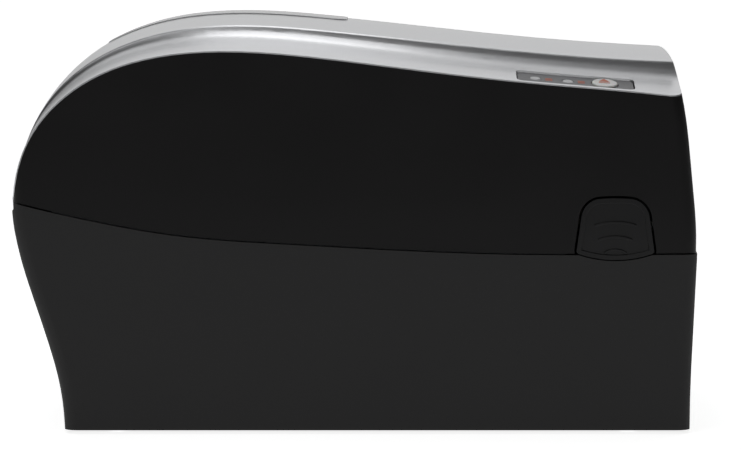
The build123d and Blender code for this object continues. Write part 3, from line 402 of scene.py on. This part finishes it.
@dataclass(frozen=True)
class Clear:
    """Tinted translucent moulding with faint scuffs."""

    name: str
    colour: Colour
    roughness: float = 0.12
    transmission: float = 0.35

    def build(self) -> bpy.types.Material:
        """Make the material."""
        shader = Shader(self.name)
        cloud = shader.noise(24.0, 3.0)
        scuff = shader.noise(0.5, 4.0, (0.1, 1.0, 1.0))
        colour = shader.blend(cloud.ramp(0.3, 0.7), shade(self.colour, 0.96), shade(self.colour, 1.04))
        return shader.finish({"Base Color": colour, "Transmission Weight": self.transmission, "IOR": 1.53,
                              "Roughness": self.roughness + cloud * 0.05 + scuff.ramp(0.6, 0.8, 0.0, 0.08),
                              "Normal": shader.bump(cloud, 0.01)})


class Finish(Enum):
    """Every finish on the printer. Each name is the record's material slot where it has one."""

    CASE_CHARCOAL = Moulded("case_charcoal", (0.017, 0.017, 0.0172), 0.62, 0.5, 0.03, specular=0.2)
    LID_BLACK = Moulded("lid_black", (0.0045, 0.0043, 0.0045), 0.42, 0.4, 0.014, specular=0.16)
    BUTTON_BLACK = Moulded("button_black", (0.0036, 0.0036, 0.0039), 0.34, 0.3, 0.008, specular=0.22)
    COVER_SILVER = Lacquered("cover_silver", (0.60, 0.605, 0.62), 0.93, 0.27)
    PANEL_GREY = Moulded("panel_grey", (0.20, 0.20, 0.21), 0.4, 0.3, 0.01)
    INNER_BLACK = Moulded("inner_black", (0.014, 0.014, 0.015), 0.5, 0.5, 0.02)
    INNER_GREY = Moulded("inner_grey", (0.085, 0.088, 0.095), 0.48, 0.5, 0.02)
    GUIDE_BLUE = Moulded("guide_blue", (0.03, 0.075, 0.15), 0.38, 0.4, 0.012)
    GEAR_WHITE = Moulded("gear_white", (0.74, 0.72, 0.65), 0.35, 0.3, 0.008, subsurface=0.15)
    CHIP_BLACK = Moulded("chip_black", (0.013, 0.013, 0.014), 0.45, 0.2, 0.01)
    CERAMIC = Moulded("ceramic", (0.62, 0.59, 0.50), 0.22, 0.3, 0.006, coat=0.4)
    KEY_WHITE = Moulded("key_white", (0.80, 0.79, 0.77), 0.25, 0.3, 0.006, coat=0.2, subsurface=0.1)
    MARK_ORANGE = Moulded("mark_orange", (0.66, 0.17, 0.09), 0.45, 0.3, 0.004)
    LENS_WHITE = Clear("lens_white", (0.85, 0.86, 0.88), 0.15, 0.25)
    # Smoked window: its colour is raised to a pale silver-grey as a painted reflection of the bright
    # surroundings seen at a grazing view; only part of this grey is the window's own tint.
    WINDOW_SMOKE_AND_PAINTED_REFLECTION = Clear("window_smoke", (0.60, 0.605, 0.62), 0.16, 0.05)
    STEEL = Metal("steel", (0.56, 0.56, 0.57), 0.28)
    ZINC_PLATE = Metal("zinc_plate", (0.60, 0.61, 0.60), 0.36, Lay.ALONG_X, 0.5)
    BRASS = Metal("brass", (0.72, 0.52, 0.20), 0.26)
    ALUMINIUM = Metal("aluminium", (0.70, 0.71, 0.72), 0.34)
    RUBBER_BLACK = Rubber("rubber_black", (0.018, 0.018, 0.018))
    PLATEN_RUBBER = Rubber("platen_rubber", (0.03, 0.03, 0.033), 0.6)
    BOARD_GREEN = Laminate("board_green", (0.008, 0.065, 0.028))


MATERIALS: Dict[Finish, bpy.types.Material] = {finish: finish.value.build() for finish in Finish}


# ------------------------------------------------------------------ mesh helpers
def dress(finish: Finish, *nodes: str) -> None:
    """Give CAD nodes that keep their shape a procedural material.

    Args:
        finish: the finish.
        nodes: CAD nodes' names.
    """
    for node in nodes:
        mesh = frame["nodes"][node].data
        mesh.materials.clear()
        mesh.materials.append(MATERIALS[finish])
        LOG.info("dressed %s in %s", node, finish.value.name)


def place(name: str, shape: bmesh.types.BMesh, finish: Finish, body: str) -> bpy.types.Object:
    """Turn a bmesh into a piece that rides on a body.

    Args:
        name: the piece's name.
        shape: its bmesh, with its place in its vertices; it is freed.
        finish: its finish.
        body: CAD body that carries it.

    Returns:
        The new piece.
    """
    mesh = bpy.data.meshes.new(name)
    shape.to_mesh(mesh)
    shape.free()
    mesh.materials.append(MATERIALS[finish])
    piece = bpy.data.objects.new(name, mesh)
    bpy.context.scene.collection.objects.link(piece)
    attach(piece, body)
    LOG.info("made %s on %s", name, body)
    return piece


@dataclass
class Softened:
    """A joined copy of a CAD node whose sharp edges are rounded off as a mould rounds them."""

    node: str
    finish: Finish
    bevel_mm: float = 0.0
    sharp_degrees: float = 30.0
    merge_mm: float = 0.004
    flat_degrees: float = 0.4

    def joined(self) -> bmesh.types.BMesh:
        """Copy the node's loose triangles and join them into faces."""
        shape = bmesh.new()
        shape.from_mesh(frame["nodes"][self.node].data)
        bmesh.ops.remove_doubles(shape, verts=shape.verts, dist=self.merge_mm * MM)
        bmesh.ops.dissolve_degenerate(shape, edges=shape.edges, dist=self.merge_mm * MM)
        if self.bevel_mm:
            bmesh.ops.dissolve_limit(shape, angle_limit=math.radians(self.flat_degrees), verts=shape.verts,
                                     edges=shape.edges, use_dissolve_boundaries=False)
        return shape

    def build(self) -> bpy.types.Object:
        """Make the piece and let it stand for the node.

        Returns:
            The piece.
        """
        source = frame["nodes"][self.node]
        subparts = frame["record"]["subparts"]
        slot = next(part["material_slot"] for part in subparts if part["node"] == self.node)
        piece = place(self.node + "_softened", self.joined(), self.finish, source["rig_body"])
        mesh = piece.data
        if "custom_normal" in mesh.attributes:
            mesh.attributes.remove(mesh.attributes["custom_normal"])
        mesh.polygons.foreach_set("use_smooth", [True] * len(mesh.polygons))
        mesh.set_sharp_from_angle(angle=math.radians(self.sharp_degrees))
        if self.bevel_mm:
            bevel = piece.modifiers.new("soft_edges", "BEVEL")
            bevel.width = self.bevel_mm * MM
            bevel.segments = 2
            bevel.limit_method = "ANGLE"
            bevel.angle_limit = math.radians(self.sharp_degrees + 5)
            bevel.use_clamp_overlap = True
        normals = piece.modifiers.new("even_shading", "WEIGHTED_NORMAL")
        normals.keep_sharp = True
        normals.weight = 80
        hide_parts(self.node)
        return piece


# ------------------------------------------------------------------ sub-assemblies
@dataclass
class LowerCase:
    """Dark lower case on its rubber feet, with its underside plate and screws."""

    edge_mm: float = 0.35

    def build(self) -> None:
        """Dress and soften the pieces."""
        Softened("base_shell", Finish.CASE_CHARCOAL, self.edge_mm).build()
        Softened("front_bezel", Finish.CASE_CHARCOAL, 0.25).build()
        dress(Finish.INNER_BLACK, "base_plate")
        dress(Finish.RUBBER_BLACK, "feet")
        dress(Finish.STEEL, "base_screws", "tear_bar")
        dress(Finish.GEAR_WHITE, "latch_catches")


@dataclass
class RollBay:
    """Inner tray with the paper cradle, its centring guides and the media sensor."""

    def build(self) -> None:
        """Dress the pieces."""
        dress(Finish.INNER_GREY, "chassis_tray")
        dress(Finish.GUIDE_BLUE, "roll_guide_left", "roll_guide_right")
        dress(Finish.INNER_BLACK, "guide_rail", "roll_hub_left", "roll_hub_right", "media_sensor")
        dress(Finish.GEAR_WHITE, "guide_pinion")
        dress(Finish.STEEL, "sensor_rail", "hinge_pins")


@dataclass
class PlatenDrive:
    """Platen roller with its gear train and stepping motor."""

    def build(self) -> None:
        """Dress the pieces."""
        dress(Finish.STEEL, "platen_shaft", "idler_stud", "motor_screws")
        dress(Finish.PLATEN_RUBBER, "platen_rubber")
        dress(Finish.GEAR_WHITE, "platen_gear", "idler_gear")
        dress(Finish.BRASS, "platen_bushes", "motor_pinion")
        dress(Finish.ZINC_PLATE, "gear_plate")
        dress(Finish.CHIP_BLACK, "drive_motor")


@dataclass
class Electronics:
    """Main board and the connectors in the rear well."""

    def build(self) -> None:
        """Dress the pieces."""
        dress(Finish.BOARD_GREEN, "main_board", "panel_board")
        dress(Finish.CHIP_BLACK, "board_chips", "power_inlet", "switch_housing", "power_rocker")
        dress(Finish.ALUMINIUM, "board_capacitors")
        dress(Finish.INNER_BLACK, "rear_io_plate")
        dress(Finish.STEEL, "usb_socket", "serial_socket")


@dataclass
class Lid:
    """Black lid sides, silver cover, window strip and the dark liner with the hinge barrel."""

    edge_mm: float = 0.35

    def build(self) -> None:
        """Dress and soften the pieces."""
        Softened("lid_shell", Finish.LID_BLACK, self.edge_mm).build()
        dress(Finish.COVER_SILVER, "top_cover")
        Softened("viewing_window", Finish.WINDOW_SMOKE_AND_PAINTED_REFLECTION, 0.3).build()
        dress(Finish.INNER_BLACK, "lid_liner")


@dataclass
class ReleaseButtons:
    """The push button on each side that frees the lid, with its spring and latch arm."""

    edge_mm: float = 0.9
    travel_mm: float = 3.0
    arm_root_mm: float = 91.5
    arm_pushed_mm: float = 86.5
    arm_cuts: int = 6

    def spring(self, side: str) -> None:
        """Soften a spring and give it a mesh of its own."""
        name = "release_spring_" + side
        piece = Softened(name, Finish.STEEL).build()
        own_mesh(piece)

    def arm(self, side: str) -> None:
        """Soften a latch arm, cut it across at several heights between its pushed and root heights, and take
        it off its body.
        """
        name = "latch_arm_" + side
        piece = Softened(name, Finish.GEAR_WHITE).build()
        shape = bmesh.new()
        shape.from_mesh(piece.data)
        step = (self.arm_root_mm - self.arm_pushed_mm) / (self.arm_cuts - 1)
        for number in range(self.arm_cuts):
            height = (self.arm_pushed_mm + number * step) * MM
            everything = list(shape.verts) + list(shape.edges) + list(shape.faces)
            bmesh.ops.bisect_plane(shape, geom=everything, plane_co=(0, 0, height), plane_no=(0, 0, 1))
        shape.to_mesh(piece.data)
        shape.free()
        piece.parent = None
        piece.matrix_world = Matrix.Identity(4)
        del piece["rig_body"]
        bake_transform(piece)

    def build(self) -> None:
        """Soften the buttons, springs and latch arms, and cut each arm across at several heights."""
        for side in ("left", "right"):
            Softened("release_button_" + side, Finish.BUTTON_BLACK, self.edge_mm, sharp_degrees=25.0).build()
            self.spring(side)
            self.arm(side)


@dataclass
class PrintHead:
    """Thermal head with its heat sink, bracket and pressure springs in their carrier."""

    def build(self) -> None:
        """Dress the pieces."""
        dress(Finish.INNER_BLACK, "head_carrier")
        dress(Finish.CERAMIC, "print_head")
        dress(Finish.ALUMINIUM, "head_heat_sink")
        dress(Finish.ZINC_PLATE, "head_bracket")
        dress(Finish.STEEL, "head_springs")


@dataclass
class ControlPanel:
    """Sunk grey panel with two lamps, a round white key and small printed marks of no language."""

    mark_thickness_mm: float = 0.12
    bar_length_mm: float = 2.9
    bar_width_mm: float = 0.6
    bar_pitch_mm: float = 1.2
    bars: int = 3
    gap_after_lamp_mm: float = 5.6
    arrow_mm: float = 2.6
    arrow_shift_mm: float = 0.6
    key_bar_shift_mm: float = -1.9
    key_bar_mm: Tuple[float, float] = (4.6, 0.8)

    def surface(self, node: str, x: float, y: float) -> Matrix:
        """Frame on a CAD node's upper surface under a point, with Z out of it and X along the printer.

        Args:
            node: CAD node's name.
            x: place along the printer, in metres.
            y: place across it, in metres.

        Returns:
            The frame's matrix.
        """
        above = Vector((x, y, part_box(node)[1].z + 0.02))
        shape = bmesh.new()
        shape.from_mesh(frame["nodes"][node].data)
        point, normal, _, _ = BVHTree.FromBMesh(shape).ray_cast(above, Vector((0, 0, -1)))
        shape.free()
        if point is None:
            raise ValueError(f"nothing of {node} lies under {x:.4f}, {y:.4f}")
        along = Vector((1, 0, 0))
        along = (along - normal * along.dot(normal)).normalized()
        across = normal.cross(along)
        return Matrix.Translation(point) @ Matrix((along, across, normal)).transposed().to_4x4()

    def bar(self, shape: bmesh.types.BMesh, place_at: Matrix, length: float, width: float) -> None:
        """Add one thin printed bar."""
        size = Matrix.Diagonal((length * MM, width * MM, self.mark_thickness_mm * MM, 1.0))
        bmesh.ops.create_cube(shape, size=1.0, matrix=place_at @ size)

    def lamp_marks(self) -> None:
        """Print a stack of short bars in front of each lamp."""
        low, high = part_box("control_panel")
        shape = bmesh.new()
        for x in self.lamp_places():
            spot = self.surface("control_panel", x + self.gap_after_lamp_mm * MM, (low.y + high.y) / 2)
            for number in range(self.bars):
                shift = Matrix.Translation((0, (number - (self.bars - 1) / 2) * self.bar_pitch_mm * MM, 0))
                self.bar(shape, spot @ shift, self.bar_length_mm, self.bar_width_mm)
        place("lamp_marks", shape, Finish.MARK_ORANGE, "lid")

    def lamp_places(self) -> List[float]:
        """Middle of each lamp along the printer, in metres."""
        mesh = frame["nodes"]["indicator_lenses"].data
        xs = sorted(vertex.co.x for vertex in mesh.vertices)
        cut = (xs[0] + xs[-1]) / 2
        groups = ([x for x in xs if x < cut], [x for x in xs if x > cut])
        return [round((min(group) + max(group)) / 2, 4) for group in groups]

    def key_mark(self) -> None:
        """Print an arrow over a bar on the key, the common sign for feeding paper."""
        low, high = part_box("feed_button")
        spot = self.surface("feed_button", (low.x + high.x) / 2, (low.y + high.y) / 2)
        shape = bmesh.new()
        arrow_at = spot @ Matrix.Translation((0, self.arrow_shift_mm * MM, 0))
        bar_at = spot @ Matrix.Translation((0, self.key_bar_shift_mm * MM, 0))
        radius = self.arrow_mm * MM
        bmesh.ops.create_cone(shape, cap_ends=True, segments=3, radius1=radius, radius2=radius,
                              depth=self.mark_thickness_mm * MM, matrix=arrow_at)
        self.bar(shape, bar_at, *self.key_bar_mm)
        place("feed_key_mark", shape, Finish.MARK_ORANGE, "feed_key")

    def build(self) -> None:
        """Dress the panel's pieces and print its marks."""
        Softened("control_panel", Finish.PANEL_GREY, 0.15).build()
        Softened("feed_button", Finish.KEY_WHITE).build()
        dress(Finish.LENS_WHITE, "indicator_lenses")
        self.lamp_marks()
        self.key_mark()


@dataclass(frozen=True)
class Softbox:
    """A flat soft light that faces the printer's ridge."""

    name: str
    size_m: Tuple[float, float]
    place_m: Colour
    radiance: float
    aim_m: Colour = (0.0, -0.09, 0.15)

    def hang(self) -> None:
        """Put the light in the scene."""
        width, depth = self.size_m
        lamp = bpy.data.lights.new(self.name, "AREA")
        lamp.shape = "RECTANGLE"
        lamp.size, lamp.size_y = width, depth
        lamp.energy = self.radiance * math.pi * width * depth
        holder = bpy.data.objects.new(self.name, lamp)
        holder.location = self.place_m
        facing = Vector(self.aim_m) - Vector(self.place_m)
        holder.rotation_euler = facing.to_track_quat("-Z", "Y").to_euler()
        bpy.context.scene.collection.objects.link(holder)


class Light(Enum):
    """The softboxes: one over the ridge, and one over the viewer's shoulder towards the rear."""

    OVERHEAD = Softbox("overhead", (0.20, 0.5), (-0.02, -0.06, 0.62), 1.8, (-0.02, -0.06, 0.0))
    SHOULDER = Softbox("shoulder", (0.9, 0.36), (-0.42, -0.62, 0.80), 1.0)


@dataclass
class Studio:
    """Pale floor, soft lights and the camera."""

    distance_mm: float = 1800.0
    camera_height_mm: float = 204.0
    aim_height_mm: float = 86.0
    offset_mm: float = 6.4
    near_side_mm: float = 113.0
    lens_mm: float = 201.2
    sensor_mm: float = 36.0
    floor_m: float = 12.0
    floor_glow: float = 0.84

    def floor(self) -> None:
        """Lay a wide white floor that is not part of the object."""
        shape = bmesh.new()
        bmesh.ops.create_grid(shape, x_segments=1, y_segments=1, size=self.floor_m)
        mesh = bpy.data.meshes.new("floor")
        shape.to_mesh(mesh)
        shape.free()
        floor = bpy.data.objects.new("floor", mesh)
        bpy.context.scene.collection.objects.link(floor)
        shader = Shader("floor_white")
        speck = shader.noise(3.0, 2.0)
        mesh.materials.append(shader.finish({"Base Color": (0.92, 0.92, 0.92), "Specular IOR Level": 0.1,
                                             "Roughness": speck.ramp(0.3, 0.7, 0.6, 0.7),
                                             "Emission Color": (1.0, 1.0, 1.0),
                                             "Emission Strength": self.floor_glow}))

    def camera(self) -> None:
        """Place the camera in front of the printer's right-hand side."""
        data = bpy.data.cameras.new("camera")
        data.lens = self.lens_mm
        data.sensor_width = self.sensor_mm
        data.clip_end = 50.0
        holder = bpy.data.objects.new("camera", data)
        spot = Vector((self.offset_mm, -self.distance_mm, self.camera_height_mm)) * MM
        aim = Vector((self.offset_mm, -self.near_side_mm, self.aim_height_mm)) * MM
        holder.location = spot
        holder.rotation_euler = (aim - spot).to_track_quat("-Z", "Y").to_euler()
        bpy.context.scene.collection.objects.link(holder)
        bpy.context.scene.camera = holder

    def room(self) -> None:
        """Light the room from the back and above, dim behind the viewer, with a plain white backdrop."""
        world = bpy.data.worlds.new("studio")
        world.use_nodes = True
        graph = Graph(world.node_tree)
        x, y, z = graph.split(graph.node("ShaderNodeTexCoord", {}, {}).outputs["Generated"])
        back = y.ramp(0.05, 0.75, 0.02, 0.84) * (x * x).ramp(0.12, 0.30, 1.0, 0.06)
        strength = back * z.ramp(0.2, 0.6, 1.0, 1.45) + z.ramp(0.6, 1.0, 0.0, 0.12)
        light = graph.node("ShaderNodeBackground", {}, {1: strength}).outputs[0]
        backdrop = graph.node("ShaderNodeBackground", {}, {0: (1.0, 1.0, 1.0), 1: 1.0}).outputs[0]
        seen = graph.node("ShaderNodeLightPath", {}, {}).outputs["Is Camera Ray"]
        mixed = graph.node("ShaderNodeMixShader", {}, {0: seen, 1: light, 2: backdrop}).outputs[0]
        graph.node("ShaderNodeOutputWorld", {}, {0: mixed})
        bpy.context.scene.world = world

    def build(self) -> None:
        """Make everything around the printer."""
        self.floor()
        for light in Light:
            light.value.hang()
        self.camera()
        self.room()
        bpy.context.scene.view_settings.view_transform = "Standard"


def main() -> None:
    """Build the sub-assemblies in order."""
    for assembly in (Studio(), LowerCase(), RollBay(), PlatenDrive(), Electronics(), Lid(), ReleaseButtons(),
                     PrintHead(), ControlPanel()):
        assembly.build()
        LOG.info("finished %s", type(assembly).__name__)


if __name__ == "__main__":
    main()
